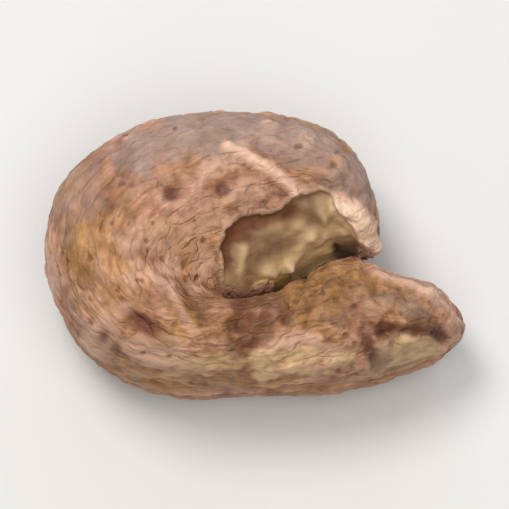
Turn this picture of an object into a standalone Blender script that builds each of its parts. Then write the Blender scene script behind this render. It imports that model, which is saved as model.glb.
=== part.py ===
"""A roasted cashew nut with its thin skin on, lying on its broad side.

The kernel is a tight curl: a thick round bend, a short blunt arm that hooks down over the notch,
and a longer arm that runs out to a rounded tip. The form is lofted between two edge curves in
plan, the back round the outside and the belly along the notch. The skin's lumps, wrinkles, pits
and torn patches are raised from it, or sunk into it, by formula.

Metres, +Z up. X is the long way of the nut, and the notch opens towards +X. The origin is on the
surface that the nut rests on, under the middle of its box.
"""

import math

import bpy
import numpy as np
from mathutils import Vector, noise

MM = 0.001

# Driving dimensions
LENGTH = 26.2 * MM
THICKNESS = 12.4 * MM

# Loft stations from the tip of the short arm, round the bend, to the tip of the long arm.
# Each holds the belly point x, y and the back point x, y in hundredths of the length, then the
# half thickness and the lift of the middle in hundredths of the thickness.
STATIONS = (
    (24.4, -4.4, 32.8, 6.4, 33.0, 7.0),
    (17.5, 1.0, 23.4, 27.4, 41.0, 1.0),
    (10.0, -5.2, 5.2, 33.6, 45.5, -0.8),
    (2.5, -10.6, -20.5, 32.9, 48.0, 0.0),
    (-3.2, -11.6, -42.3, 22.2, 50.0, 0.5),
    (-6.6, -13.5, -52.7, 0.7, 50.0, 0.0),
    (-3.6, -15.0, -45.2, -22.8, 49.5, 0.0),
    (3.2, -13.2, -23.8, -34.2, 47.5, 0.2),
    (11.5, -8.0, 3.3, -34.4, 44.5, 0.0),
    (20.5, -1.2, 20.5, -32.2, 42.0, -1.2),
    (29.5, -4.6, 32.5, -29.6, 39.5, 0.0),
    (39.5, -6.6, 43.0, -26.0, 33.0, 6.0),
    (47.3, -8.9, 51.6, -21.6, 20.0, 18.0),
)
# How many stations the rounding of each tip takes, and how full the tips and the sections are.
# The belly's fullness changes along the nut, above the middle and below it: station, power.
SHORT_CAP = 0.95
LONG_CAP = 1.25
CAP_POWER = 2.2
BACK_POWER = 2.35
BELLY_POWERS = ((0, 1.5), (5, 1.6), (7.5, 2.6), (10, 2.6), (12, 2.1))
LOW_BELLY_POWERS = ((0, 2.2), (1, 3.4), (4, 3.4), (5.5, 2.6), (12, 2.2))
BACK_FULLNESS = 0.10

# Mesh density: sections along the curl, points round each section
ROWS = 90
COLUMNS = 66
FINE_STEPS = 1600

# The skin's relief: heights, and the sizes of one lump, knob or wrinkle
LUMP_HEIGHT = 0.30 * MM
LUMP_SIZE = 6.0 * MM
KNOB_HEIGHT = 0.14 * MM
KNOB_SIZE = 2.1 * MM
WRINKLE_HEIGHT = 0.24 * MM
WRINKLE_WIDTH = 1.5 * MM
WRINKLE_RUN = 5.2 * MM
SEAM_DEPTH = 0.22 * MM
SEAM_WIDTH = 0.5 * MM

# Pits and dimples on the upper side: x, y in hundredths of the length, then half length, half
# width, the turn of the long way in degrees, and depth
PITS = (
    (-19.2, 9.3, 0.65 * MM, 0.60 * MM, 0, 0.24 * MM),
    (-7.4, 9.4, 0.60 * MM, 0.55 * MM, 40, 0.22 * MM),
    (-26.0, -23.0, 1.20 * MM, 0.95 * MM, -35, 0.36 * MM),
    (-3.2, -18.4, 0.70 * MM, 0.95 * MM, 10, 0.36 * MM),
    (-3.6, -23.2, 0.60 * MM, 0.65 * MM, 0, 0.26 * MM),
    (-0.4, -26.9, 0.80 * MM, 0.55 * MM, 10, 0.22 * MM),
)
PIT_RIM = 0.35

# Torn skin: chains of circles, x, y and radius in hundredths of the length
TEARS = (
    (
        (-3.4, -7.8, 4.6),
        (-1.8, -4.2, 5.8),
        (4.0, -2.6, 6.1),
        (9.6, -0.6, 5.8),
        (14.4, 4.0, 6.4),
        (19.6, 0.8, 5.0),
    ),
    ((30.0, -25.6, 1.8), (36.0, -25.0, 2.3), (42.0, -24.2, 1.2)),
)
TEAR_WANDER = 1.5
TEAR_CELL = 1.6 * MM
TEAR_SOFTNESS = 2.4
TEAR_CLOSING = 9.0
SKIN_DEPTH = 0.26 * MM
LIP_HEIGHT = 0.12 * MM

# Folds of the skin on the upper side: a line in hundredths of the length, half width, height
FOLDS = (
    (((13.6, 12.2), (15.6, 7.6), (14.4, 2.2), (8.4, -3.5), (4.2, -5.2), (1.4, -5.9)), 1.8, 0.38 * MM),
    (((19.8, 8.2), (22.6, 6.6), (25.7, 3.3), (27.5, 1.2)), 2.6, 0.50 * MM),
    (((28.6, -8.8), (35.0, -10.0), (40.8, -12.0), (45.2, -15.6), (47.6, -18.6)), 1.8, 0.32 * MM),
    (((24.6, -24.0), (27.6, -22.2), (31.4, -21.6), (36.0, -20.4), (44.8, -21.4)), 1.8, -0.26 * MM),
    (((-23.4, -11.4), (-20.0, -14.8), (-16.8, -19.4), (-14.3, -24.6)), 2.6, 0.18 * MM),
    (((-6.4, 19.5), (-0.9, 17.0), (4.0, 14.6), (9.2, 10.6)), 1.8, 0.26 * MM),
    (((3.0, 26.6), (11.0, 23.6), (18.6, 17.6), (23.4, 12.0)), 1.8, 0.18 * MM),
)

# The skin smooths out at the notch's inner end, within these distances in plan
NOTCH_END = (-5.8, -13.6)
CALM_NEAR = 0.8 * MM
CALM_FAR = 2.6 * MM

# How far above the mid-plane the upper side's own marks come in
UPPER_FROM = -1.4 * MM
UPPER_FULL = 0.8 * MM

# The lowest skin is pressed flat at this height
REST_HEIGHT = 0.03 * MM


def spline(points, place):
    """A smooth curve past the points, which starts on the first and ends on the last."""
    points = np.asarray(points, float)
    padded = np.vstack([2 * points[0] - points[1], points, 2 * points[-1] - points[-2]])
    first = np.clip(np.floor(place).astype(int), 0, len(points) - 2)
    f = (place - first)[:, None]
    weights = (
        (1 - f) ** 3,
        3 * f**3 - 6 * f**2 + 4,
        -3 * f**3 + 3 * f**2 + 3 * f + 1,
        f**3,
    )
    return sum(w * padded[first + k] for k, w in enumerate(weights)) / 6


def ramp(value, low, high):
    """0 up to low, 1 from high on, and smooth between."""
    t = np.clip((value - low) / (high - low), 0, 1)
    return t * t * (3 - 2 * t)


def cap_factor(place):
    """1 along the nut, falling to 0 at both tips as a rounded end does."""
    last = len(STATIONS) - 1
    short_arm = np.clip(1 - place / SHORT_CAP, 0, 1)
    long_arm = np.clip(1 - (last - place) / LONG_CAP, 0, 1)
    near = np.maximum(short_arm, long_arm)
    return (1 - near**CAP_POWER) ** (1 / CAP_POWER)


def section_ring(place, angle):
    """Unit sections: how far towards the back and how high, for each place and angle."""
    across, up = np.cos(angle)[None, :], np.sin(angle)[None, :]
    high_belly = np.interp(place, *zip(*BELLY_POWERS))[:, None]
    low_belly = np.interp(place, *zip(*LOW_BELLY_POWERS))[:, None]
    belly_power = np.where(up > 0, high_belly, low_belly)
    power = np.where(across > 0, BACK_POWER, belly_power)
    size = (np.abs(across) ** power + np.abs(up) ** power) ** (-1 / power)
    across = across * size
    return across, up * size * (1 + BACK_FULLNESS * across)


def smooth_grid(place, angle):
    """Points of the smooth nut, and their unbent coordinates: along it, towards the back, up."""
    values = spline(STATIONS, place)
    belly = values[:, 0:2] * LENGTH / 100
    back = values[:, 2:4] * LENGTH / 100
    half_thick = values[:, 4] * THICKNESS / 100
    middle_height = half_thick + values[:, 5] * THICKNESS / 100
    middle = (belly + back) / 2
    cap = cap_factor(place)[:, None]
    across, up = section_ring(place, angle)
    plan = middle[:, None, :] + (back - belly)[:, None, :] / 2 * (cap * across)[:, :, None]
    rise = half_thick[:, None] * cap * up
    points = np.dstack([plan, middle_height[:, None] + rise])
    half_wide = np.linalg.norm(back - belly, axis=1)[:, None] / 2
    steps = np.linalg.norm(np.diff(middle, axis=0), axis=1)
    along = np.concatenate([[0], np.cumsum(steps)])[:, None] * np.ones_like(rise)
    return points, np.dstack([along, half_wide * cap * across, rise])


def even_places(count):
    """Places along the nut whose sections lie evenly apart over the skin, from tip to tip."""
    last = len(STATIONS) - 1
    fine = last * (1 - np.cos(np.linspace(0, math.pi, FINE_STEPS))) / 2
    lines = smooth_grid(fine, np.linspace(0, 2 * math.pi, 8, endpoint=False))[0]
    steps = np.linalg.norm(np.diff(lines, axis=0), axis=2).mean(axis=1)
    length = np.concatenate([[0], np.cumsum(steps)])
    return np.interp(np.linspace(0, length[-1], count), length, fine)


def outward(points):
    """Unit normals of the grid. The first and last rows are the tips."""
    rows = np.gradient(points, axis=0)
    around = np.roll(points, -1, axis=1) - np.roll(points, 1, axis=1)
    normals = np.cross(rows, around)
    normals[0] = normals[1].mean(axis=0)
    normals[-1] = normals[-2].mean(axis=0)
    return normals / np.linalg.norm(normals, axis=2, keepdims=True)


def field(points, size):
    """Smooth noise from about -1 to 1 at each point, where one feature is about size long."""
    scaled = points / size
    flat = [noise.noise(Vector(p)) for p in scaled.reshape(-1, 3)]
    return np.array(flat).reshape(points.shape[:2])


def billow(noise_field):
    """Turns noise into round swells between sharp creases, from about -0.8 to 0.8."""
    return 2.2 * np.abs(noise_field) ** 0.75 - 0.8


def line_distance(plan, line):
    """Distance in plan to a line of points."""
    best = np.full(plan.shape[:2], np.inf)
    for start, end in zip(line, line[1:]):
        start, end = np.array(start), np.array(end)
        run = end - start
        t = np.clip(((plan - start) @ run) / (run @ run), 0, 1)
        best = np.minimum(best, np.linalg.norm(plan - start - t[..., None] * run, axis=2))
    return best


def tear_depth(points, upper):
    """How far inside a torn place each point is, in hundredths of the length, below 0 outside."""
    plan = points[:, :, :2] / LENGTH * 100
    depth = np.full(plan.shape[:2], -np.inf)
    for chain in TEARS:
        for start, end in zip(chain, chain[1:]):
            start, change = np.array(start), np.subtract(end, start)
            run = change[:2]
            t = np.clip(((plan - start[:2]) @ run) / (run @ run), 0, 1)
            centre = start[:2] + t[..., None] * run
            inside = start[2] + t * change[2] - np.linalg.norm(plan - centre, axis=2)
            depth = np.maximum(depth, inside)
    return depth + TEAR_WANDER * field(points, TEAR_CELL) - TEAR_CLOSING * (1 - upper)


def pit_relief(points, upper):
    """Turned oval pits with a low raised rim."""
    height = np.zeros(points.shape[:2])
    for x, y, half_long, half_wide, turn, depth in PITS:
        offset = points[:, :, :2] - np.array((x, y)) * LENGTH / 100
        c, s = math.cos(math.radians(turn)), math.sin(math.radians(turn))
        along = offset[:, :, 0] * c + offset[:, :, 1] * s
        across = offset[:, :, 1] * c - offset[:, :, 0] * s
        reach = np.hypot(along / half_long, across / half_wide)
        rim = PIT_RIM * np.exp(-(((reach - 1.6) / 0.5) ** 2))
        height += depth * (rim - np.exp(-(reach**2)))
    return height * upper


def fold_relief(points, upper):
    """Ridges and cracks along the folds' lines."""
    plan = points[:, :, :2] / LENGTH * 100
    height = np.zeros(points.shape[:2])
    for line, half_width, rise in FOLDS:
        height += rise * np.exp(-((line_distance(plan, line) / half_width) ** 2))
    return height * upper


def relief(points, unbent):
    """Height of the skin over the smooth form."""
    upper = ramp(unbent[:, :, 2], UPPER_FROM, UPPER_FULL)
    lumps = LUMP_HEIGHT * field(points, LUMP_SIZE)
    knobs = KNOB_HEIGHT * billow(field(points, KNOB_SIZE))
    cross_cell = np.array((WRINKLE_WIDTH, WRINKLE_RUN, WRINKLE_RUN))
    length_cell = np.array((WRINKLE_RUN, WRINKLE_WIDTH, WRINKLE_WIDTH))
    cross = billow(field(unbent, cross_cell))
    lengthwise = billow(field(unbent + 7 * MM, length_cell))
    near_back = ramp(unbent[:, :, 1], -1.0 * MM, 3.0 * MM)
    wrinkles = WRINKLE_HEIGHT * (cross * (1 - near_back) + lengthwise * near_back) * 0.5
    on_back = ramp(unbent[:, :, 1], 0.0, 2.0 * MM)
    seam = -SEAM_DEPTH * on_back * np.exp(-((unbent[:, :, 2] / SEAM_WIDTH) ** 2))
    torn = tear_depth(points, upper)
    inside = ramp(torn, -TEAR_SOFTNESS / 2, TEAR_SOFTNESS / 2)
    lip = LIP_HEIGHT * np.exp(-(((torn + TEAR_SOFTNESS) / TEAR_SOFTNESS) ** 2))
    from_end = np.linalg.norm(points[:, :, :2] - np.array(NOTCH_END) * LENGTH / 100, axis=2)
    calm = ramp(from_end, CALM_NEAR, CALM_FAR)
    skin = (knobs + wrinkles) * (1 - 0.6 * inside) - SKIN_DEPTH * inside + lip
    marks = seam + pit_relief(points, upper) + fold_relief(points, upper)
    return lumps + (skin + marks) * calm


def nut_points():
    """Grid of the finished nut: one row per section, with all of a tip's row in one point."""
    angle = np.linspace(0, 2 * math.pi, COLUMNS, endpoint=False)
    smooth, unbent = smooth_grid(even_places(ROWS), angle)
    points = smooth + outward(smooth) * relief(smooth, unbent)[:, :, None]
    points[:, :, 2] = np.maximum(points[:, :, 2], REST_HEIGHT)
    low = points.min(axis=(0, 1))
    high = points.max(axis=(0, 1))
    origin = np.array(((low[0] + high[0]) / 2, (low[1] + high[1]) / 2, low[2]))
    return points - origin


def make_nut():
    points = nut_points()
    body = points[1:-1].reshape(-1, 3)
    verts = [*body.tolist(), points[0, 0].tolist(), points[-1, 0].tolist()]
    short_tip, long_tip = len(body), len(body) + 1
    last_row = (ROWS - 3) * COLUMNS
    faces = []
    for column in range(COLUMNS):
        after = (column + 1) % COLUMNS
        for row in range(0, last_row, COLUMNS):
            corners = (row + column, row + COLUMNS + column, row + COLUMNS + after, row + after)
            faces.append(corners)
        faces.append((short_tip, column, after))
        faces.append((long_tip, last_row + after, last_row + column))
    mesh = bpy.data.meshes.new("cashew_nut")
    mesh.from_pydata(verts, [], faces)
    mesh.shade_smooth()
    nut = bpy.data.objects.new("cashew_nut", mesh)
    bpy.context.collection.objects.link(nut)
    return nut


def skin_material():
    """Dry roasted skin, a tan reddish brown."""
    material = bpy.data.materials.new("nut_skin")
    material.use_nodes = True
    shader = material.node_tree.nodes["Principled BSDF"]
    shader.inputs["Base Color"].default_value = (0.40, 0.21, 0.12, 1.0)
    shader.inputs["Roughness"].default_value = 0.55
    shader.inputs["Metallic"].default_value = 0.0
    return material


for old in list(bpy.data.objects):
    bpy.data.objects.remove(old, do_unlink=True)
cashew_nut = make_nut()
cashew_nut.data.materials.append(skin_material())
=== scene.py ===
import math

import bpy
import numpy as np
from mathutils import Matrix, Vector, noise


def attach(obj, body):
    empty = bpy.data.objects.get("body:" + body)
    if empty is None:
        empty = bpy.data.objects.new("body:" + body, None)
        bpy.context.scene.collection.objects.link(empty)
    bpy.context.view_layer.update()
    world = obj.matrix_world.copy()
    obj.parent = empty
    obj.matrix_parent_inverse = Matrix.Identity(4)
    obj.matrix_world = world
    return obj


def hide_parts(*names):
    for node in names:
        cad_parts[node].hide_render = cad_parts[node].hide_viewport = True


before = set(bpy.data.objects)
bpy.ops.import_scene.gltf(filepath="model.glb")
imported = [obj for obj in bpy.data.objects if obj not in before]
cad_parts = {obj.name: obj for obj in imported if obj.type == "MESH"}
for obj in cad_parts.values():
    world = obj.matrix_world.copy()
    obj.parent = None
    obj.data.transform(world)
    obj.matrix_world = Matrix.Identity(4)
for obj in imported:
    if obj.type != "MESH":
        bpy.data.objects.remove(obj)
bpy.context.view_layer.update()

MM = 0.001

# Driving dimensions, as in the part
LENGTH = 26.2 * MM
THICKNESS = 12.4 * MM

# Loft stations from the tip of the short arm, round the bend, to the tip of the long arm.
# Each holds the belly point x, y and the back point x, y in hundredths of the length, then the
# half thickness and the lift of the middle in hundredths of the thickness.
STATIONS = (
    (24.4, -4.4, 32.8, 6.4, 33.0, 7.0),
    (17.5, 1.0, 23.4, 27.4, 41.0, 1.0),
    (10.0, -5.2, 5.2, 33.6, 45.5, -0.8),
    (2.5, -10.6, -20.5, 32.9, 48.0, 0.0),
    (-3.2, -11.6, -42.3, 22.2, 50.0, 0.5),
    (-6.6, -13.5, -52.7, 0.7, 50.0, 0.0),
    (-3.6, -15.0, -45.2, -22.8, 49.5, 0.0),
    (3.2, -13.2, -23.8, -34.2, 47.5, 0.2),
    (11.5, -8.0, 3.3, -34.4, 44.5, 0.0),
    (20.5, -1.2, 20.5, -32.2, 42.0, -1.2),
    (29.5, -4.6, 32.5, -29.6, 39.5, 0.0),
    (39.5, -6.6, 43.0, -26.0, 33.0, 6.0),
    (47.3, -8.9, 51.6, -21.6, 20.0, 18.0),
)
SHORT_CAP = 0.95
LONG_CAP = 1.25
CAP_POWER = 2.2
BACK_POWER = 2.35
BELLY_POWERS = ((0, 1.5), (5, 1.6), (7.5, 2.6), (10, 2.6), (12, 2.1))
LOW_BELLY_POWERS = ((0, 2.2), (1, 3.4), (4, 3.4), (5.5, 2.6), (12, 2.2))
BACK_FULLNESS = 0.10

# Mesh density: sections along the curl, points round each section
ROWS = 402
COLUMNS = 244
FINE_STEPS = 1600

# The skin's relief: heights, and the sizes of one lump, knob or wrinkle
LUMP_HEIGHT = 0.30 * MM
LUMP_SIZE = 6.0 * MM
KNOB_HEIGHT = 0.14 * MM
KNOB_SIZE = 2.1 * MM
WRINKLE_HEIGHT = 0.24 * MM
WRINKLE_WIDTH = 1.5 * MM
WRINKLE_RUN = 5.2 * MM
FLANK_SHARE = 0.6
FLANK_HEIGHTS = (0.0, 4.0 * MM)
BACK_WRINKLES_FROM = (-1.0 * MM, 3.0 * MM)
LENGTHWISE_SHIFT = 7 * MM
SEAM_DEPTH = 0.22 * MM
SEAM_WIDTH = 0.5 * MM
SEAM_FROM = (0.0, 2.0 * MM)

# Pits and dimples on the upper side.
# Each holds x, y in hundredths of the length, half length, half width, the turn of its long way
# in degrees, depth, and how dark it is, as painted shade in its bowl.
PITS = (
    (-19.4, 7.8, 0.66 * MM, 0.66 * MM, 0, 0.32 * MM, 0.95),
    (-7.4, 9.4, 0.58 * MM, 0.54 * MM, 40, 0.31 * MM, 0.95),
    (-26.0, -23.0, 1.10 * MM, 0.58 * MM, -35, 0.50 * MM, 1.0),
    (-35.3, -24.7, 0.45 * MM, 0.42 * MM, 0, 0.20 * MM, 0.7),
    (-3.2, -18.4, 0.70 * MM, 0.95 * MM, 10, 0.36 * MM, 0.7),
    (-3.6, -23.2, 0.55 * MM, 0.65 * MM, 0, 0.26 * MM, 0.8),
    (-0.4, -26.9, 0.80 * MM, 0.45 * MM, 10, 0.22 * MM, 0.7),
    (9.6, 4.6, 0.50 * MM, 0.36 * MM, 20, 0.20 * MM, 0.6),
    (31.9, -22.8, 0.75 * MM, 0.60 * MM, 20, 0.26 * MM, 0.75),
    (26.8, -26.6, 0.50 * MM, 1.05 * MM, 6, 0.24 * MM, 0.7),
)
PIT_RIM = 0.35
PIT_RIM_REACH = 1.6
PIT_RIM_WIDTH = 0.5

# Torn skin, as chains of circles.
# Each circle holds x, y and radius in hundredths of the length, and how strong the painted shade
# under the skin's edge is there.
TEARS = (
    (
        (-3.0, -7.0, 4.3, 0.55),
        (-1.6, -3.4, 6.4, 1.0),
        (4.0, -2.0, 6.8, 1.0),
        (9.6, -0.6, 5.8, 1.0),
        (14.4, 4.0, 6.4, 0.3),
        (19.6, 0.8, 5.0, 0.3),
    ),
    ((29.2, -28.2, 1.7, 0.5), (35.4, -27.2, 2.5, 0.15), (42.2, -25.9, 1.5, 0.1)),
)
TEAR_WANDER = 1.2
TEAR_CELL = 1.6 * MM
TEAR_RAGS = 0.6
TEAR_RAG_CELL = 0.55 * MM
TEAR_SOFTNESS = 0.7
TEAR_CLOSING = 9.0
# The line of painted shade just inside the torn edge: its place and width in hundredths of the
# length, the shallow groove cut along it, and the heights where it comes in on the wall
RIM_MIDDLE = 1.0
RIM_WIDTH = 1.9
RIM_DEPTH = 0.16 * MM
RIM_HEIGHTS = (1.4 * MM, 2.8 * MM)
SKIN_DEPTH = 0.22 * MM
LIP_HEIGHT = 0.12 * MM
BARE_CALM = 0.6

# Folds and cracks of the skin on the upper side.
# Each holds a line and its half width in hundredths of the length, its height, below 0 for a
# crack, and how pale it is, below 0 for dark. The dark of the cracks is painted shade, and a few
# pale lines are painted light on shaded places.
FOLDS = (
    (((13.6, 12.2), (15.3, 9.8), (15.8, 6.1)), 1.9, 0.30 * MM, 0.22),
    (((15.8, 6.1), (16.2, 3.6), (14.2, 1.2)), 1.7, 0.34 * MM, 0.1),
    (((14.2, 1.2), (10.8, -2.0), (7.9, -4.8)), 1.6, 0.34 * MM, 0.42),
    (((7.9, -4.8), (6.1, -6.0), (4.0, -6.8)), 1.5, 0.40 * MM, 0.42),
    (((4.0, -6.8), (0.6, -7.2)), 1.3, 0.22 * MM, 0.2),
    (((19.8, 8.2), (22.6, 6.6), (25.7, 3.3), (27.5, 1.2)), 2.2, 0.55 * MM, 1.2),
    # A groove under the flap, darkened with painted shadow
    (((19.2, -0.8), (22.4, -1.6), (25.0, -3.0)), 1.6, -0.32 * MM, -0.8),
    (((-2.5, -3.4), (-2.9, -7.6)), 1.5, 0.16 * MM, 0.36),
    (((2.6, 1.0), (6.8, 1.8), (11.4, 3.4)), 2.2, 0.06 * MM, 0.26),
    # Painted light on the shaded wall beside the flap
    (((17.2, 3.2), (21.0, 2.0)), 1.8, 0.10 * MM, 0.5),
    # Painted light on the shaded inner end of the notch
    (((-6.6, -9.0), (-2.0, -11.2)), 2.2, 0.04 * MM, 0.32),
    (((28.6, -8.6), (32.6, -9.4), (36.8, -10.8), (41.0, -12.4)), 1.7, 0.32 * MM, 0.55),
    (((41.0, -12.4), (45.2, -15.6), (47.6, -18.0)), 1.6, 0.28 * MM, 0.4),
    (((28.4, -9.0), (28.4, -11.6), (29.0, -15.4)), 1.0, -0.16 * MM, -0.35),
    (
        ((29.0, -22.6), (33.4, -22.4), (36.9, -22.2), (40.5, -22.2), (44.6, -21.6)),
        1.8,
        -0.22 * MM,
        -0.75,
    ),
    (((-23.4, -11.4), (-20.0, -14.8), (-16.8, -19.4), (-14.3, -24.6)), 1.8, 0.24 * MM, 0.32),
    (((-16.8, -12.4), (-14.2, -16.4), (-11.8, -21.4)), 1.6, -0.20 * MM, -0.6),
    (((-6.4, 19.5), (-0.9, 17.0), (4.0, 14.2), (9.2, 10.4)), 1.6, 0.28 * MM, 0.75),
    (((-14.4, 8.0), (-11.6, 12.6), (-7.3, 15.2)), 1.3, 0.16 * MM, 0.35),
    (((-0.4, 23.6), (6.6, 20.4), (13.6, 15.6), (18.0, 13.8)), 1.4, 0.20 * MM, 0.2),
    (((3.0, 26.6), (11.0, 23.6), (18.6, 17.6), (23.4, 12.0)), 1.4, 0.18 * MM, 0.15),
)
FOLD_WANDER = 1.0
FOLD_CELL = 1.3 * MM
FOLD_BEAD = 1.1 * MM
FOLD_BEADING = 0.4

# The skin smooths out at the notch's inner end, within these distances in plan
NOTCH_END = (-5.8, -13.6)
CALM_NEAR = 0.8 * MM
CALM_FAR = 2.6 * MM

# Heights above the mid-plane at which the upper side's own marks begin and are full.
# The first number holds on the back, and the second on the notch's walls.
UPPER_FROM = (-1.4 * MM, -4.4 * MM)
UPPER_FULL = (0.8 * MM, -2.4 * MM)
NOTCH_WALLS_FROM = (0.0, 2.0 * MM)

# Where the bare kernel is paler low down in the notch: partly the kernel's own cream colour and
# partly painted light on the shaded lower wall.
# The depths are below the mid-plane, and the ranges along x, over which the paleness comes in and
# goes out, are in hundredths of the length.
DEEP_HEIGHTS = (-2.8 * MM, -0.6 * MM)
DEEP_FROM = (-2.0, 4.0)
DEEP_TO = (17.0, 21.5)

# The lowest skin is pressed flat at this height
REST_HEIGHT = 0.03 * MM

# Finer relief, which only the dressed nut has
CRINKLE_HEIGHT = 0.065 * MM
CRINKLE_SIZE = 0.85 * MM
FIBRE_HEIGHT = 0.05 * MM
FIBRE_WIDTH = 0.60 * MM
FIBRE_RUN = 3.0 * MM
GRAIN_HEIGHT = 0.03 * MM
GRAIN_SIZE = 0.36 * MM
SWERVE = 0.4 * MM
SWERVE_CELL = 1.5 * MM
VEIN_HEIGHT = 0.05 * MM
VEIN_SIZE = 2.6 * MM
VEIN_RUN = 1.8
VEIN_WIDTH = 0.06
POCKS = 240
POCK_SEED = 7
POCK_RADII = (0.12 * MM, 0.30 * MM)
POCK_DEPTH = 0.45
POCK_RAGS = 0.7
POCK_RAG_CELL = 0.3 * MM
POCK_FREE_ROWS = 3

# How much the knobs and the finer relief count beside the wrinkles in the mask of swells, which
# places the painted highlight on the swells and the painted shade in the creases
SWELL_OF_KNOBS = 1.25
SWELL_OF_FINE = 1.4

# Stained places on the upper side. Among them, a grey sheen mostly along the top is painted, and
# some pale and dark places are painted light and painted shadow.
# Each holds x, y, half length and half width in hundredths of the length, the turn of its long
# way in degrees, and its strength.
STAINS = {
    "ochre": (
        (13.0, -14.5, 9.5, 6.5, 15, 1.0),
        (21.0, -11.0, 8.0, 6.0, -10, 0.85),
        (-40.5, -4.0, 6.0, 9.5, 0, 0.9),
        (-16.0, -22.0, 5.0, 8.0, 20, 0.75),
        (-20.5, -3.0, 5.0, 6.0, 0, 0.75),
        (-15.6, -8.0, 3.4, 6.6, -10, 0.55),
        (21.0, -7.4, 7.0, 3.0, -12, 0.8),
    ),
    "brown": (
        (17.0, -14.5, 13.0, 8.5, 0, 0.9),
        (27.0, -20.6, 6.0, 4.0, -8, 0.7),
        (8.0, -13.4, 6.0, 2.2, 35, 0.7),
        (-22.4, -25.6, 3.6, 2.4, -20, 0.8),
        (-33.4, -27.2, 2.4, 1.8, 0, 0.5),
        (37.0, -16.0, 8.0, 5.0, -20, 0.6),
        (4.0, -16.0, 6.5, 4.4, 25, 0.9),
        (24.0, -20.0, 7.0, 4.0, 0, 0.9),
        (-41.0, -12.0, 6.0, 9.0, 0, 0.4),
        (-12.4, -19.6, 7.0, 4.0, -55, 0.7),
        (-1.6, -22.8, 9.0, 3.4, 0, 0.85),
        (19.4, -20.6, 7.0, 2.2, 0, 1.0),
        (40.0, -19.4, 7.0, 3.6, -8, 0.9),
        (-8.5, 21.6, 4.4, 3.0, 0, 0.55),
        (9.4, 16.4, 5.0, 2.6, -20, 0.6),
        (20.0, 13.0, 6.0, 6.0, 0, 0.45),
        (-31.0, 12.0, 3.4, 7.0, -10, 0.5),
        (19.0, -24.0, 4.0, 2.4, 0, 0.5),
    ),
    "dark": (
        (-3.5, -17.9, 2.6, 2.0, 0, 0.55),
        (-3.6, -21.6, 3.0, 2.4, 0, 0.5),
        (3.2, -18.2, 4.6, 3.6, 10, 0.65),
        (30.6, -22.6, 3.4, 2.2, 6, 0.9),
        (-3.0, -28.0, 4.0, 2.4, 0, 0.65),
        # Painted shadow on the long arm's edge below the flap
        (21.6, -4.6, 2.4, 1.0, -10, 0.5),
        # Painted shade at the left end of the torn edge
        (-3.4, -0.8, 3.2, 2.2, 0, 0.8),
        (2.6, -20.4, 4.8, 2.8, 0, 0.85),
        (-0.6, -26.2, 3.0, 1.8, 0, 0.4),
        (19.8, -21.2, 4.4, 1.8, 0, 0.55),
        (27.0, -26.8, 1.8, 2.6, 10, 0.55),
        (1.6, -25.0, 3.6, 2.2, 0, 0.5),
        (40.0, -20.2, 5.0, 1.8, -6, 0.5),
        (39.4, -22.2, 7.0, 2.2, 0, 0.8),
    ),
    "cream": (
        (-12.0, -31.4, 9.0, 1.8, 4, 0.6),
        (2.0, -30.4, 4.5, 2.6, 0, 0.9),
        (10.0, -29.6, 9.0, 2.2, 2, 0.95),
        (20.0, -29.0, 4.2, 2.0, 0, 0.8),
        (-5.6, -30.8, 4.0, 2.0, 0, 0.5),
        (1.4, -32.2, 1.7, 1.9, 0, 1.0),
        (36.0, -26.0, 9.5, 3.0, 6, 0.8),
    ),
    "pale": (
        (-13.0, 3.0, 9.0, 6.5, 0, 0.5),
        # Painted light on the middle of the body
        (-22.5, -3.0, 5.0, 5.0, 0, 0.55),
        (10.0, -26.2, 8.0, 2.4, 4, 0.8),
        (-36.6, -24.4, 4.6, 4.6, -20, 0.95),
        (-27.4, -27.6, 4.0, 2.4, -10, 0.8),
        (-20.2, -8.9, 3.6, 3.0, 0, 0.8),
        (-12.4, -7.4, 3.0, 5.0, 0, 0.7),
        (27.4, -17.2, 3.4, 3.0, 0, 0.65),
        (10.8, 10.0, 2.8, 2.0, 0, 0.8),
        (-28.6, -5.0, 3.0, 2.6, 0, 0.7),
        (-29.6, -19.5, 2.6, 2.4, 0, 0.6),
        (17.6, -28.0, 3.8, 2.2, 0, 0.8),
        (-21.5, -28.8, 7.0, 2.8, -8, 1.0),
        # A strip of painted light down the left end
        (-49.0, -7.0, 3.0, 9.0, 4, 1.0),
        (46.4, -19.4, 2.8, 3.0, 0, 0.85),
        (-1.6, 8.6, 4.6, 4.2, 0, 0.6),
        (-9.4, 13.8, 4.4, 2.6, 10, 0.6),
        (-33.0, -20.6, 4.0, 3.0, 30, 0.5),
    ),
    # A grey sheen painted mostly along the top of the nut, as light glancing off it
    "ash": (
        (-40.0, 9.0, 5.0, 12.0, -20, 0.5),
        (-24.0, 20.0, 13.0, 6.5, 25, 0.85),
        (-8.0, 24.5, 15.0, 7.5, 4, 0.95),
        (36.5, -16.5, 7.0, 4.0, -15, 0.6),
        (11.0, 22.0, 12.0, 7.0, -25, 0.95),
        (23.0, 13.5, 6.5, 9.0, -20, 1.0),
    ),
}
STAIN_WANDER = 0.5
STAIN_CELL = 1.4 * MM
STAIN_RAGS = 0.35
STAIN_RAG_CELL = 0.6 * MM
STAIN_EDGE = (-0.15, 0.35)

# Colours, as linear red, green, blue and full cover
TAN = (0.40, 0.196, 0.120, 1)
OCHRE = (0.365, 0.182, 0.060, 1)
RED_BROWN = (0.19, 0.070, 0.036, 1)
# Pinkish tan: painted highlight on the swells, and the colour of pale patches and fold feet
PINK_TAN = (0.53, 0.320, 0.222, 1)
# Painted shade in the creases between swells and in the cracks
CREASE_SHADE = (0.070, 0.021, 0.010, 1)
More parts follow.
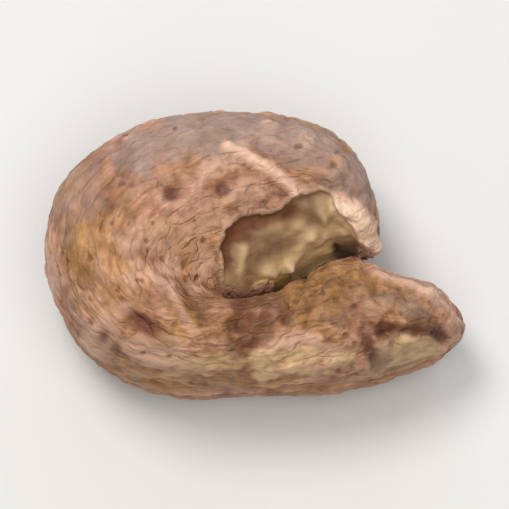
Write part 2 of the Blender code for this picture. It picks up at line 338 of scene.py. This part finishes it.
# Dark brown of the specks, and painted shade in the pits and pocks
PIT_BROWN = (0.110, 0.031, 0.013, 1)
KERNEL = (0.30, 0.180, 0.098, 1)
KERNEL_OLIVE = (0.205, 0.120, 0.062, 1)
CREAM = (0.72, 0.520, 0.370, 1)
# Pale kernel low in the notch, brightened further as painted light
IVORY = (0.95, 0.680, 0.320, 1)
PINK_PALE = (0.66, 0.43, 0.31, 1)
WORN = (0.58, 0.395, 0.208, 1)
# Grey of the sheen painted along the top
PAINTED_SHEEN_GREY = (0.285, 0.205, 0.180, 1)
SHADE_BROWN = (0.65, 0.61, 0.51, 1)
# Dark blotches, some of them painted shadow
DARK_BROWN = (0.115, 0.037, 0.013, 1)
# Painted shade under the torn skin's edge
RIM_SHADE_BROWN = (0.125, 0.038, 0.012, 1)
PAPER = (0.62, 0.62, 0.61, 1)

# Sizes of the colours' patterns, and how far the lengthwise ones are drawn out
PATCH_SIZE = 5.0 * MM
RED_PATCH_SIZE = 3.2 * MM
MOTTLE_SIZE = 0.7 * MM
STREAK_SIZE = 0.30 * MM
STREAK_RUN = 4
SPECK_SIZE = 0.5 * MM
FLAKE_SIZE = 1.1 * MM
FLAKE_RUN = 1.8
FLAKE_EDGE_SIZE = 0.7 * MM
FLAKE_EDGE_SHIFT = 0.9 * MM
WORN_SIZE = 0.8 * MM
POLISH_SIZE = 0.9 * MM
KERNEL_PATCH_SIZE = 2.0 * MM
PAPER_PATCH_SIZE = 30 * MM

# Bumps finer than the mesh: size and height
GRAIN_BUMP = (0.14 * MM, 0.03 * MM)
FIBRE_BUMP = (0.22 * MM, 0.05 * MM)
WRINKLE_BUMP = (0.42 * MM, 0.08 * MM)
FLAKE_BUMP_HEIGHT = 0.05 * MM

# Camera: what it looks at, how far off and how steeply, and how wide a strip it sees there
NUT_CENTRE = (0.0, 0.0, 0.45 * THICKNESS)
CAMERA_DISTANCE = 0.30
CAMERA_ELEVATION = 76.0
VIEW_WIDTH = LENGTH / 0.83
SENSOR_WIDTH = 36.0

# Lamps: name, place, size, power and colour
LAMPS = (
    ("key", (-0.13, 0.14, 0.44), 0.20, 1.45, (1.0, 0.97, 0.93)),
    ("fill", (0.03, -0.12, 0.43), 0.40, 1.18, (1.0, 0.98, 0.95)),
    ("top", (0.05, 0.45, 0.16), 0.40, 1.0, (0.64, 0.79, 1.0)),
)

# Sky and floor
SKY_COLOUR = (1.0, 0.955, 0.90, 1)
SKY_STRENGTH = 0.32
FLOOR_HALF = 1.0


def spline(points, place):
    """A smooth curve past the points, which starts on the first and ends on the last."""
    points = np.asarray(points, float)
    padded = np.vstack([2 * points[0] - points[1], points, 2 * points[-1] - points[-2]])
    first = np.clip(np.floor(place).astype(int), 0, len(points) - 2)
    f = (place - first)[:, None]
    weights = (
        (1 - f) ** 3,
        3 * f**3 - 6 * f**2 + 4,
        -3 * f**3 + 3 * f**2 + 3 * f + 1,
        f**3,
    )
    return sum(w * padded[first + k] for k, w in enumerate(weights)) / 6


def ramp(value, low, high):
    """0 up to low, 1 from high on, and smooth between."""
    t = np.clip((value - low) / (high - low), 0, 1)
    return t * t * (3 - 2 * t)


def cap_factor(place):
    """1 along the nut, falling to 0 at both tips as a rounded end does."""
    last = len(STATIONS) - 1
    short_arm = np.clip(1 - place / SHORT_CAP, 0, 1)
    long_arm = np.clip(1 - (last - place) / LONG_CAP, 0, 1)
    near = np.maximum(short_arm, long_arm)
    return (1 - near**CAP_POWER) ** (1 / CAP_POWER)


def section_ring(place, angle):
    """Unit sections: how far towards the back and how high, for each place and angle."""
    across, up = np.cos(angle)[None, :], np.sin(angle)[None, :]
    high_belly = np.interp(place, *zip(*BELLY_POWERS))[:, None]
    low_belly = np.interp(place, *zip(*LOW_BELLY_POWERS))[:, None]
    belly_power = np.where(up > 0, high_belly, low_belly)
    power = np.where(across > 0, BACK_POWER, belly_power)
    size = (np.abs(across) ** power + np.abs(up) ** power) ** (-1 / power)
    across = across * size
    return across, up * size * (1 + BACK_FULLNESS * across)


def smooth_grid(place, angle):
    """Points of the smooth nut, and their unbent coordinates: along it, towards the back, up."""
    values = spline(STATIONS, place)
    belly = values[:, 0:2] * LENGTH / 100
    back = values[:, 2:4] * LENGTH / 100
    half_thick = values[:, 4] * THICKNESS / 100
    middle_height = half_thick + values[:, 5] * THICKNESS / 100
    middle = (belly + back) / 2
    cap = cap_factor(place)[:, None]
    across, up = section_ring(place, angle)
    plan = middle[:, None, :] + (back - belly)[:, None, :] / 2 * (cap * across)[:, :, None]
    rise = half_thick[:, None] * cap * up
    points = np.dstack([plan, middle_height[:, None] + rise])
    half_wide = np.linalg.norm(back - belly, axis=1)[:, None] / 2
    steps = np.linalg.norm(np.diff(middle, axis=0), axis=1)
    along = np.concatenate([[0], np.cumsum(steps)])[:, None] * np.ones_like(rise)
    return points, np.dstack([along, half_wide * cap * across, rise])


def even_places(count):
    """Places along the nut whose sections lie evenly apart over the skin, from tip to tip."""
    last = len(STATIONS) - 1
    fine = last * (1 - np.cos(np.linspace(0, math.pi, FINE_STEPS))) / 2
    lines = smooth_grid(fine, np.linspace(0, 2 * math.pi, 8, endpoint=False))[0]
    steps = np.linalg.norm(np.diff(lines, axis=0), axis=2).mean(axis=1)
    length = np.concatenate([[0], np.cumsum(steps)])
    return np.interp(np.linspace(0, length[-1], count), length, fine)


def outward(points):
    """Unit normals of the grid. The first and last rows are the tips."""
    rows = np.gradient(points, axis=0)
    around = np.roll(points, -1, axis=1) - np.roll(points, 1, axis=1)
    normals = np.cross(rows, around)
    normals[0] = normals[1].mean(axis=0)
    normals[-1] = normals[-2].mean(axis=0)
    return normals / np.linalg.norm(normals, axis=2, keepdims=True)


def field(points, size):
    """Smooth noise from about -1 to 1 at each point, where one feature is about size long."""
    scaled = points / size
    flat = [noise.noise(Vector(p)) for p in scaled.reshape(-1, 3)]
    return np.array(flat).reshape(points.shape[:2])


def billow(noise_field):
    """Turns noise into round swells between sharp creases, from about -0.8 to 0.8."""
    return 2.2 * np.abs(noise_field) ** 0.75 - 0.8


def cell_edges(points, size):
    """0 on the edges between irregular cells about size wide, rising towards 1 inside them."""
    flat = []
    for p in (points / size).reshape(-1, 3):
        near = noise.voronoi(Vector(p))[0]
        flat.append(near[1] - near[0])
    return np.array(flat).reshape(points.shape[:2])


def line_distance(plan, line):
    """Distance in plan to a line of points."""
    best = np.full(plan.shape[:2], np.inf)
    for start, end in zip(line, line[1:]):
        start, end = np.array(start), np.array(end)
        run = end - start
        t = np.clip(((plan - start) @ run) / (run @ run), 0, 1)
        best = np.minimum(best, np.linalg.norm(plan - start - t[..., None] * run, axis=2))
    return best


def reach(points, x, y, half_long, half_wide, turn):
    """How far out each point lies in plan, in radii of a turned ellipse."""
    offset = points[:, :, :2] - np.array((x, y)) * LENGTH / 100
    c, s = math.cos(math.radians(turn)), math.sin(math.radians(turn))
    along = offset[:, :, 0] * c + offset[:, :, 1] * s
    across = offset[:, :, 1] * c - offset[:, :, 0] * s
    return np.hypot(along / half_long, across / half_wide)


def tear_depth(points, upper):
    """How far inside a torn place each point is, in hundredths of the length, below 0 outside,
    and how strong the painted shade under the skin's edge is there."""
    plan = points[:, :, :2] / LENGTH * 100
    depth = np.full(plan.shape[:2], -np.inf)
    shade = np.zeros(plan.shape[:2])
    for chain in TEARS:
        for start, end in zip(chain, chain[1:]):
            start, change = np.array(start), np.subtract(end, start)
            run = change[:2]
            t = np.clip(((plan - start[:2]) @ run) / (run @ run), 0, 1)
            centre = start[:2] + t[..., None] * run
            inside = start[2] + t * change[2] - np.linalg.norm(plan - centre, axis=2)
            shade = np.where(inside > depth, start[3] + t * change[3], shade)
            depth = np.maximum(depth, inside)
    wander = TEAR_WANDER * field(points, TEAR_CELL) + TEAR_RAGS * field(points, TEAR_RAG_CELL)
    return depth + wander - TEAR_CLOSING * (1 - upper), shade


def pit_relief(points, upper):
    """Pits with a low raised rim, and how much painted shade each puts in its bowl."""
    height = np.zeros(points.shape[:2])
    dark = np.zeros(points.shape[:2])
    for x, y, half_long, half_wide, turn, depth, shade in PITS:
        out = reach(points, x, y, half_long, half_wide, turn)
        bowl = np.exp(-(out**2))
        rim = PIT_RIM * np.exp(-(((out - PIT_RIM_REACH) / PIT_RIM_WIDTH) ** 2))
        height += depth * (rim - bowl)
        dark = np.maximum(dark, shade * bowl)
    return height * upper, dark * upper


def pock_relief(points):
    """Small pocks strewn over the whole skin, 0 between them and 1 at their middles."""
    draw = np.random.default_rng(POCK_SEED)
    bowls = np.zeros(points.shape[:2])
    depths = np.zeros(points.shape[:2])
    ragged = 1 + POCK_RAGS * field(points, POCK_RAG_CELL)
    rows = draw.integers(POCK_FREE_ROWS, ROWS - POCK_FREE_ROWS, POCKS)
    columns = draw.integers(0, COLUMNS, POCKS)
    radii = draw.uniform(*POCK_RADII, POCKS)
    for row, column, radius in zip(rows, columns, radii):
        out = ragged * np.linalg.norm(points - points[row, column], axis=2) / radius
        bowl = np.exp(-(out**2))
        bowls = np.maximum(bowls, bowl)
        depths = np.maximum(depths, POCK_DEPTH * radius * bowl)
    return -depths, bowls


def fold_relief(points, upper):
    """Ridges and cracks along the folds' lines, and how pale or dark each makes the skin, the
    dark being painted shade in the cracks and some of the pale painted light.
    """
    plan = points[:, :, :2] / LENGTH * 100
    swerve = FOLD_WANDER * np.dstack([field(points, FOLD_CELL), field(points + MM, FOLD_CELL)])
    beads = 0.9 + FOLD_BEADING * field(points, FOLD_BEAD)
    height = np.zeros(points.shape[:2])
    pale = np.zeros(points.shape[:2])
    for line, half_width, rise, tint in FOLDS:
        ridge = beads * np.exp(-((line_distance(plan + swerve, line) / half_width) ** 2))
        height += rise * ridge
        pale += tint * ridge
    return height * upper, pale * upper


def stain(points, upper, spots):
    """0 to 1 where the stained places lie, with edges that wander."""
    total = np.zeros(points.shape[:2])
    wander = STAIN_WANDER * field(points, STAIN_CELL)
    rough = wander + STAIN_RAGS * field(points, STAIN_RAG_CELL)
    for x, y, half_long, half_wide, turn, strength in spots:
        out = reach(points, x, y, half_long * LENGTH / 100, half_wide * LENGTH / 100, turn)
        total = np.maximum(total, strength * ramp(1 - out + rough, *STAIN_EDGE))
    return total * upper


def upper_side(unbent):
    """1 on the side that faces up, and 0 on the side that the nut lies on."""
    in_notch = ramp(-unbent[:, :, 1], *NOTCH_WALLS_FROM)
    low = UPPER_FROM[0] + (UPPER_FROM[1] - UPPER_FROM[0]) * in_notch
    high = UPPER_FULL[0] + (UPPER_FULL[1] - UPPER_FULL[0]) * in_notch
    return ramp(unbent[:, :, 2], low, high)


def deep_wall(points, unbent):
    """1 low down on the short arm's wall in the notch, where its paler kernel also carries
    painted light, and 0 at the notch's inner end.
    """
    low = ramp(-unbent[:, :, 2], *DEEP_HEIGHTS)
    x = points[:, :, 0] / LENGTH * 100
    return low * ramp(x, *DEEP_FROM) * (1 - ramp(x, *DEEP_TO))


def wrinkle_relief(unbent):
    """Wrinkles that run across the nut on its belly side and lengthwise on its back."""
    cross_cell = np.array((WRINKLE_WIDTH, WRINKLE_RUN, WRINKLE_RUN))
    length_cell = np.array((WRINKLE_RUN, WRINKLE_WIDTH, WRINKLE_WIDTH))
    cross = billow(field(unbent, cross_cell))
    lengthwise = billow(field(unbent + LENGTHWISE_SHIFT, length_cell))
    near_back = ramp(unbent[:, :, 1], *BACK_WRINKLES_FROM)
    return WRINKLE_HEIGHT / 2 * (cross * (1 - near_back) + lengthwise * near_back)


def seam_relief(unbent):
    """The shallow line along the middle of the back, where the kernel's halves meet."""
    on_back = ramp(unbent[:, :, 1], *SEAM_FROM)
    return -SEAM_DEPTH * on_back * np.exp(-((unbent[:, :, 2] / SEAM_WIDTH) ** 2))


def tear_masks(points, unbent, upper):
    """Where the skin is torn away, where its torn edge stands up, and the line of painted shade
    just inside the edge.
    """
    torn, rim_shade = tear_depth(points, upper)
    inside = ramp(torn, -TEAR_SOFTNESS / 2, TEAR_SOFTNESS / 2)
    lip = np.exp(-(((torn + TEAR_SOFTNESS) / TEAR_SOFTNESS) ** 2))
    high_wall = ramp(unbent[:, :, 2], *RIM_HEIGHTS)
    rim = rim_shade * high_wall * np.exp(-(((torn - RIM_MIDDLE) / RIM_WIDTH) ** 2))
    return inside, lip, rim


def fine_relief(points, unbent):
    """Crinkles, fibres and veins, and the height that they and the grain give together."""
    crinkle = CRINKLE_HEIGHT * billow(field(points, CRINKLE_SIZE))
    swerving = unbent + SWERVE * field(points, SWERVE_CELL)[:, :, None]
    fibre_cell = np.array((FIBRE_RUN, FIBRE_WIDTH, FIBRE_WIDTH))
    fibres = FIBRE_HEIGHT * billow(field(swerving, fibre_cell))
    grain = GRAIN_HEIGHT * field(points, GRAIN_SIZE)
    vein_cell = np.array((VEIN_RUN, 1.0, 1.0)) * VEIN_SIZE
    veins = np.exp(-((cell_edges(swerving, vein_cell) / VEIN_WIDTH) ** 2))
    return crinkle, fibres, veins, crinkle + fibres + grain + VEIN_HEIGHT * veins


def away_from_end(points):
    """0 at the notch's inner end, and 1 further off in plan."""
    from_end = np.linalg.norm(points[:, :, :2] - np.array(NOTCH_END) * LENGTH / 100, axis=2)
    return ramp(from_end, CALM_NEAR, CALM_FAR)


def relief(points, unbent):
    """Height of the skin over the smooth form, and the masks that its colours follow."""
    upper = upper_side(unbent)
    lumps = LUMP_HEIGHT * field(points, LUMP_SIZE)
    knobs = KNOB_HEIGHT * billow(field(points, KNOB_SIZE))
    wrinkles = wrinkle_relief(unbent)
    inside, lip, rim = tear_masks(points, unbent, upper)
    crinkle, fibres, veins, fine = fine_relief(points, unbent)
    pocks, pock_mask = pock_relief(points)
    pits, pit_mask = pit_relief(points, upper)
    folds, fold_mask = fold_relief(points, upper)
    on_top = FLANK_SHARE + (1 - FLANK_SHARE) * ramp(unbent[:, :, 2], *FLANK_HEIGHTS)
    calm = 1 - BARE_CALM * inside
    skin = (knobs + wrinkles) * on_top * calm - SKIN_DEPTH * inside + LIP_HEIGHT * lip
    skin -= RIM_DEPTH * rim
    raised = skin + seam_relief(unbent) + pits + folds + (fine + pocks) * calm
    height = lumps + raised * away_from_end(points)
    # The swells get a painted highlight in the colour, and the creases between them painted shade
    swell = SWELL_OF_KNOBS * knobs + wrinkles + SWELL_OF_FINE * crinkle + SWELL_OF_FINE * fibres
    masks = {
        "torn": inside,
        "lip": lip * (1 - inside),
        # The line of painted shade inside the torn edge, also cut in as a groove above
        "rim": rim,
        # Where the kernel is paler low in the notch, which also carries painted light
        "deep": deep_wall(points, unbent),
        "swell": swell / MM,
        "unbent": unbent,
        "vein": veins,
        "pock": pock_mask,
        "pit": pit_mask,
        "fold": fold_mask,
    }
    for name, spots in STAINS.items():
        masks[name] = stain(points, upper, spots)
    return height, masks


def fine_grid():
    """The nut's points in rows, from tip to tip, set down on the floor, and their masks."""
    angle = np.linspace(0, 2 * math.pi, COLUMNS, endpoint=False)
    smooth, unbent = smooth_grid(even_places(ROWS), angle)
    height, masks = relief(smooth, unbent)
    points = smooth + outward(smooth) * height[:, :, None]
    points[:, :, 2] = np.maximum(points[:, :, 2], REST_HEIGHT)
    low = points.min(axis=(0, 1))
    high = points.max(axis=(0, 1))
    points -= np.array(((low[0] + high[0]) / 2, (low[1] + high[1]) / 2, low[2]))
    return points, masks


def on_points(grid):
    """A grid's values in the order of the mesh's points: the rows, then the two tips."""
    inner = grid[1:-1].reshape(-1, *grid.shape[2:])
    return np.concatenate([inner, grid[:1, 0], grid[-1:, 0]])


def grid_faces():
    """Squares between the rows, and triangles round the two tips."""
    short_tip = (ROWS - 2) * COLUMNS
    last_row = short_tip - COLUMNS
    faces = []
    for column in range(COLUMNS):
        after = (column + 1) % COLUMNS
        for row in range(0, last_row, COLUMNS):
            corners = (row + column, row + COLUMNS + column, row + COLUMNS + after, row + after)
            faces.append(corners)
        faces.append((short_tip, column, after))
        faces.append((short_tip + 1, last_row + after, last_row + column))
    return faces


def make_nut():
    """The nut as one fine closed mesh, which carries the masks on its points."""
    points, masks = fine_grid()
    mesh = bpy.data.meshes.new("nut_skin_fine")
    mesh.from_pydata(on_points(points).tolist(), [], grid_faces())
    mesh.shade_smooth()
    for name, grid in masks.items():
        values = on_points(grid).astype(np.float32)
        kind, field_name = ("FLOAT", "value") if grid.ndim == 2 else ("FLOAT_VECTOR", "vector")
        mesh.attributes.new(name, kind, "POINT").data.foreach_set(field_name, values.ravel())
    mesh.materials.append(skin_material())
    nut = bpy.data.objects.new("nut_skin_fine", mesh)
    bpy.context.collection.objects.link(nut)
    return nut


class Nodes:
    """Short calls that add nodes to one material's tree and link them."""

    def __init__(self, material):
        material.use_nodes = True
        self.tree = material.node_tree
        self.shader = self.tree.nodes["Principled BSDF"]
        self.where = self.tree.nodes.new("ShaderNodeTexCoord").outputs["Object"]

    def put(self, socket, value):
        """Sets a socket, by a link where the value is another node's output."""
        if isinstance(value, bpy.types.NodeSocket):
            self.tree.links.new(value, socket)
        else:
            socket.default_value = value

    def mask(self, name):
        """One of the masks on the mesh's points."""
        node = self.tree.nodes.new("ShaderNodeAttribute")
        node.attribute_name = name
        return node.outputs["Fac"]

    def lengthwise(self, run):
        """Coordinates in which a texture is drawn out run times along the nut's curl."""
        unbent = self.tree.nodes.new("ShaderNodeAttribute")
        unbent.attribute_name = "unbent"
        node = self.tree.nodes.new("ShaderNodeVectorMath")
        node.operation = "MULTIPLY"
        self.put(node.inputs[0], unbent.outputs["Vector"])
        self.put(node.inputs[1], (1 / run, 1, 1))
        return node.outputs["Vector"]

    def ragged(self, at, size, amount):
        """Coordinates shifted by noise, so that the cells of a texture get ragged edges."""
        cloud = self.tree.nodes.new("ShaderNodeTexNoise")
        self.put(cloud.inputs["Vector"], at)
        self.put(cloud.inputs["Scale"], 1 / size)
        shift = self.tree.nodes.new("ShaderNodeVectorMath")
        shift.operation = "MULTIPLY_ADD"
        self.put(shift.inputs[0], cloud.outputs["Color"])
        self.put(shift.inputs[1], (amount, amount, amount))
        self.put(shift.inputs[2], at)
        return shift.outputs["Vector"]

    def flakes(self, size, at):
        """Cells about size wide: a tone from 0 to 1 in each, and the distance to their edges."""
        tones = self.tree.nodes.new("ShaderNodeTexVoronoi")
        edges = self.tree.nodes.new("ShaderNodeTexVoronoi")
        edges.feature = "DISTANCE_TO_EDGE"
        for node in (tones, edges):
            self.put(node.inputs["Vector"], at)
            self.put(node.inputs["Scale"], 1 / size)
        split = self.tree.nodes.new("ShaderNodeSeparateColor")
        self.put(split.inputs["Color"], tones.outputs["Color"])
        return split.outputs["Red"], edges.outputs["Distance"]

    def noise(self, size, detail=3.0, roughness=0.55, at=None):
        """Noise whose features are about size across, in metres."""
        node = self.tree.nodes.new("ShaderNodeTexNoise")
        self.put(node.inputs["Vector"], at or self.where)
        self.put(node.inputs["Scale"], 1 / size)
        self.put(node.inputs["Detail"], detail)
        self.put(node.inputs["Roughness"], roughness)
        return node.outputs["Fac"]

    def dots(self, size, at):
        """Distance to the nearest of the points strewn about size apart, in cells."""
        node = self.tree.nodes.new("ShaderNodeTexVoronoi")
        self.put(node.inputs["Vector"], at)
        self.put(node.inputs["Scale"], 1 / size)
        return node.outputs["Distance"]

    def span(self, value, low, high, to_low=0.0, to_high=1.0):
        """Maps low..high to to_low..to_high, and holds it there."""
        node = self.tree.nodes.new("ShaderNodeMapRange")
        node.interpolation_type = "SMOOTHSTEP"
        self.put(node.inputs["Value"], value)
        self.put(node.inputs["From Min"], low)
        self.put(node.inputs["From Max"], high)
        self.put(node.inputs["To Min"], to_low)
        self.put(node.inputs["To Max"], to_high)
        return node.outputs["Result"]

    def math(self, kind, a, b):
        """The sum, product or other combination of two numbers."""
        node = self.tree.nodes.new("ShaderNodeMath")
        node.operation = kind
        self.put(node.inputs[0], a)
        self.put(node.inputs[1], b)
        return node.outputs["Value"]

    def mix(self, factor, a, b, blend="MIX"):
        """Colour a, changed towards b by the factor."""
        node = self.tree.nodes.new("ShaderNodeMix")
        node.data_type = "RGBA"
        node.blend_type = blend
        self.put(node.inputs["Factor"], factor)
        self.put(node.inputs["A"], a)
        self.put(node.inputs["B"], b)
        return node.outputs["Result"]

    def bump(self, height, distance, strength, under=None):
        """Bumps of a height in metres, on top of the bumps under them."""
        node = self.tree.nodes.new("ShaderNodeBump")
        self.put(node.inputs["Height"], height)
        self.put(node.inputs["Distance"], distance)
        self.put(node.inputs["Strength"], strength)
        if under is not None:
            self.put(node.inputs["Normal"], under)
        return node.outputs["Normal"]


def plain_skin(n, tone, cracks):
    """Tan, mottled with ochre and red brown, with a painted pinkish highlight on the swells and
    painted shade in the creases.
    """
    colour = n.mix(n.span(n.noise(PATCH_SIZE, 2), 0.38, 0.62, 0.0, 0.7), TAN, OCHRE)
    colour = n.mix(n.span(n.noise(RED_PATCH_SIZE, 4), 0.50, 0.74, 0.0, 0.6), colour, RED_BROWN)
    ochre = n.mask("ochre")
    colour = n.mix(ochre, colour, OCHRE)
    swell = n.mask("swell")
    less_on_ochre = n.span(ochre, 0, 1, 1, 0.25)
    # Painted pinkish highlight on the swells, weaker on the ochre
    pinkness = n.math("MULTIPLY", n.span(swell, -0.08, 0.16, 0.0, 0.62), less_on_ochre)
    colour = n.mix(pinkness, colour, PINK_TAN)
    # Painted shade in the creases
    colour = n.mix(n.span(swell, -0.06, -0.30, 0.0, 0.5), colour, CREASE_SHADE)
    colour = n.mix(n.span(n.mask("vein"), 0.2, 1.0, 0.0, 0.3), colour, RED_BROWN)
    streaks = n.noise(STREAK_SIZE, 3, 0.6, n.lengthwise(STREAK_RUN))
    colour = n.mix(1.0, colour, n.span(streaks, 0.3, 0.7, 0.84, 1.14), "MULTIPLY")
    mottle = n.noise(MOTTLE_SIZE, 4, 0.65)
    colour = n.mix(1.0, colour, n.span(mottle, 0.3, 0.7, 0.80, 1.16), "MULTIPLY")
    colour = n.mix(1.0, colour, n.span(tone, 0.0, 1.0, 0.88, 1.12), "MULTIPLY")
    crack = n.math("MULTIPLY", n.span(cracks, 0.0, 0.09, 0.28, 0.0), n.span(ochre, 0, 1, 1, 0.4))
    colour = n.mix(crack, colour, RED_BROWN)
    specks = n.span(n.dots(SPECK_SIZE, n.lengthwise(FLAKE_RUN)), 0.10, 0.24, 0.45, 0.0)
    return n.mix(n.math("MULTIPLY", specks, n.span(ochre, 0, 1, 1, 0.3)), colour, PIT_BROWN)


def stained_skin(n, colour):
    """The plain skin's colour with its stains, pocks and pale torn edges."""
    # Painted grey sheen, mostly along the top
    colour = n.mix(n.math("MULTIPLY", n.mask("ash"), 0.68), colour, PAINTED_SHEEN_GREY)
    # Pale patches, some of them painted light
    colour = n.mix(n.math("MULTIPLY", n.mask("pale"), 0.8), colour, PINK_TAN)
    colour = n.mix(n.mask("brown"), colour, SHADE_BROWN, "MULTIPLY")
    # Dark blotches, some of them painted shadow
    colour = n.mix(n.mask("dark"), colour, DARK_BROWN)
    # Painted shade in the pocks
    colour = n.mix(n.span(n.mask("pock"), 0.2, 0.9, 0.0, 0.7), colour, PIT_BROWN)
    return n.mix(n.span(n.mask("lip"), 0.25, 0.8, 0.0, 0.22), colour, CREAM)


def kernel_colour(n):
    """The bare kernel: olive tan, ivory low in the notch as kernel colour with painted light,
    dark blotches that are partly painted shadow, and painted shade under the skin's edge.
    """
    patches = n.noise(KERNEL_PATCH_SIZE, 4, 0.5)
    colour = n.mix(n.span(patches, 0.36, 0.66), KERNEL_OLIVE, KERNEL)
    # Ivory low in the notch: the kernel's paler colour together with painted light where the arm
    # shades the wall
    colour = n.mix(n.mask("deep"), colour, IVORY)
    # Dark blotches on the kernel, here painted shade beside the torn edge
    colour = n.mix(n.mask("dark"), colour, RIM_SHADE_BROWN)
    # Painted shade under the torn skin's edge
    return n.mix(n.span(n.mask("rim"), 0.05, 0.75, 0.0, 0.9), colour, RIM_SHADE_BROWN)


def marked_colour(n, bare, colour):
    """The colour with its worn places, folds and pits, where bare is 1 on the kernel; the dark of
    the cracks and pits is painted shade, and some fold tints are painted light.
    """
    worn = n.span(n.noise(WORN_SIZE, 4, 0.6), 0.32, 0.62, 0.35, 1)
    colour = n.mix(n.math("MULTIPLY", n.mask("cream"), worn), colour, WORN)
    fold = n.mask("fold")
    bare = n.math("MAXIMUM", bare, n.span(fold, 0.75, 1.0))
    crest = n.mix(bare, PINK_PALE, CREAM)
    foot = n.mix(bare, PINK_TAN, WORN)
    colour = n.mix(n.span(fold, 0.05, 0.5), colour, foot)
    colour = n.mix(n.span(fold, 0.3, 0.85), colour, crest)
    # Painted shade in the cracks
    colour = n.mix(n.span(fold, -0.1, -0.9), colour, CREASE_SHADE)
    # Painted shade in the pits
    return n.mix(n.span(n.mask("pit"), 0.1, 0.8, 0.0, 0.9), colour, PIT_BROWN)


def skin_bumps(n, torn, cracks):
    """Grain, fibres, wrinkles and the edges of flakes, which the bare kernel shows less."""
    share = n.span(torn, 0.3, 0.7, 1.0, 0.2)
    size, height = GRAIN_BUMP
    bumps = n.bump(n.noise(size, 3), height, 0.6)
    size, height = FIBRE_BUMP
    bumps = n.bump(n.noise(size, 3, 0.6, n.lengthwise(STREAK_RUN)), height, share, bumps)
    size, height = WRINKLE_BUMP
    bumps = n.bump(n.noise(size, 4, 0.6), height, share, bumps)
    return n.bump(n.span(cracks, 0.0, 0.14), FLAKE_BUMP_HEIGHT, share, bumps)


def skin_material():
    """Roasted skin, torn in places to the pale kernel."""
    material = bpy.data.materials.new("nut_skin_detail")
    n = Nodes(material)
    torn = n.mask("torn")
    bare = n.span(torn, 0.3, 0.7)
    ragged = n.ragged(n.lengthwise(FLAKE_RUN), FLAKE_EDGE_SIZE, FLAKE_EDGE_SHIFT)
    tone, cracks = n.flakes(FLAKE_SIZE, ragged)
    skin = stained_skin(n, plain_skin(n, tone, cracks))
    colour = marked_colour(n, bare, n.mix(bare, skin, kernel_colour(n)))
    n.put(n.shader.inputs["Base Color"], colour)
    patchy = n.span(n.noise(POLISH_SIZE, 3), 0.3, 0.7, 0.40, 0.60)
    polish = n.span(n.mask("swell"), -0.20, 0.15, 0.12, -0.06)
    n.put(n.shader.inputs["Roughness"], n.math("ADD", patchy, polish))
    n.put(n.shader.inputs["Normal"], skin_bumps(n, torn, cracks))
    n.shader.inputs["Subsurface Weight"].default_value = 0.03
    n.shader.inputs["Subsurface Radius"].default_value = (1.0, 0.45, 0.25)
    n.shader.inputs["Subsurface Scale"].default_value = 0.5 * MM
    n.shader.inputs["Specular IOR Level"].default_value = 0.32
    return material


def floor_material():
    """Plain pale studio paper."""
    material = bpy.data.materials.new("pale_floor")
    n = Nodes(material)
    tone = n.span(n.noise(PAPER_PATCH_SIZE, 2), 0.3, 0.7, 0.97, 1.0)
    n.put(n.shader.inputs["Base Color"], n.mix(1.0, PAPER, tone, "MULTIPLY"))
    n.put(n.shader.inputs["Roughness"], 0.85)
    return material


def make_floor():
    """A flat square of paper under the nut."""
    half = FLOOR_HALF
    corners = [(-half, -half, 0), (half, -half, 0), (half, half, 0), (-half, half, 0)]
    mesh = bpy.data.meshes.new("floor")
    mesh.from_pydata(corners, [], [(0, 1, 2, 3)])
    mesh.materials.append(floor_material())
    floor = bpy.data.objects.new("floor", mesh)
    bpy.context.collection.objects.link(floor)


def aim(obj, target):
    """Turns a lamp or camera to look at the target."""
    obj.rotation_euler = (Vector(target) - obj.location).to_track_quat("-Z", "Y").to_euler()


def make_lamp(name, place, size, power, colour):
    """A round soft lamp that shines on the nut."""
    lamp = bpy.data.lights.new(name, "AREA")
    lamp.shape = "DISK"
    lamp.size = size
    lamp.energy = power
    lamp.color = colour
    obj = bpy.data.objects.new(name, lamp)
    bpy.context.collection.objects.link(obj)
    obj.location = place
    aim(obj, NUT_CENTRE)


def make_lights():
    """Three soft lamps and an even pale sky."""
    for lamp in LAMPS:
        make_lamp(*lamp)
    world = bpy.data.worlds.new("sky")
    world.use_nodes = True
    sky = world.node_tree.nodes["Background"]
    sky.inputs["Color"].default_value = SKY_COLOUR
    sky.inputs["Strength"].default_value = SKY_STRENGTH
    bpy.context.scene.world = world


def make_camera():
    """A long lens that looks down on the nut, nearly square to its curl."""
    camera = bpy.data.cameras.new("camera")
    camera.sensor_width = SENSOR_WIDTH
    camera.lens = SENSOR_WIDTH * CAMERA_DISTANCE / VIEW_WIDTH
    camera.clip_start = 0.01
    obj = bpy.data.objects.new("camera", camera)
    bpy.context.collection.objects.link(obj)
    tilt = math.radians(CAMERA_ELEVATION)
    way = Vector((0, -math.cos(tilt), math.sin(tilt)))
    obj.location = Vector(NUT_CENTRE) + way * CAMERA_DISTANCE
    aim(obj, NUT_CENTRE)
    bpy.context.scene.camera = obj


make_camera()
make_lights()
make_floor()
nut = make_nut()
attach(nut, "root")
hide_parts("cashew_nut")
bpy.context.scene.view_settings.view_transform = "Standard"
